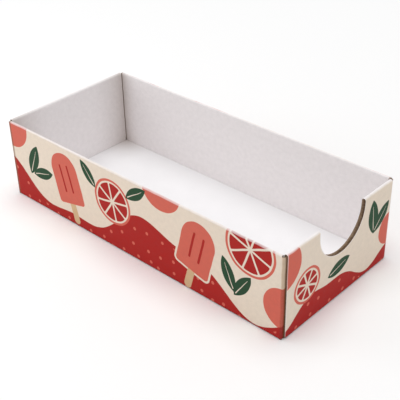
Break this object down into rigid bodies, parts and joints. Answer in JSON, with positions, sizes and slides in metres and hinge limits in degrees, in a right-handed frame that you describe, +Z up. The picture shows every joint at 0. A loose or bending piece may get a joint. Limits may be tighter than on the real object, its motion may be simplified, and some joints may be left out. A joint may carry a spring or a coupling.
{
  "type": "ice pop box",
  "caption": "Open-top folded card tray for ice pops, with rolled double walls, tucked corner flaps and a half-round thumb notch in one short end.",
  "frame": {"origin": "on the table, under the middle of the tray", "axes": "+X along the tray towards the notched end, -Y towards the printed front, +Z up"},
  "size_m": [0.22, 0.097, 0.053],
  "materials": {
    "printed_card": "uncoated matt print on white-lined card, brown core at the cut edges"
  },
  "bodies": {
    "root": {"folded_tray": "printed_card"}
  },
  "joints": []
}
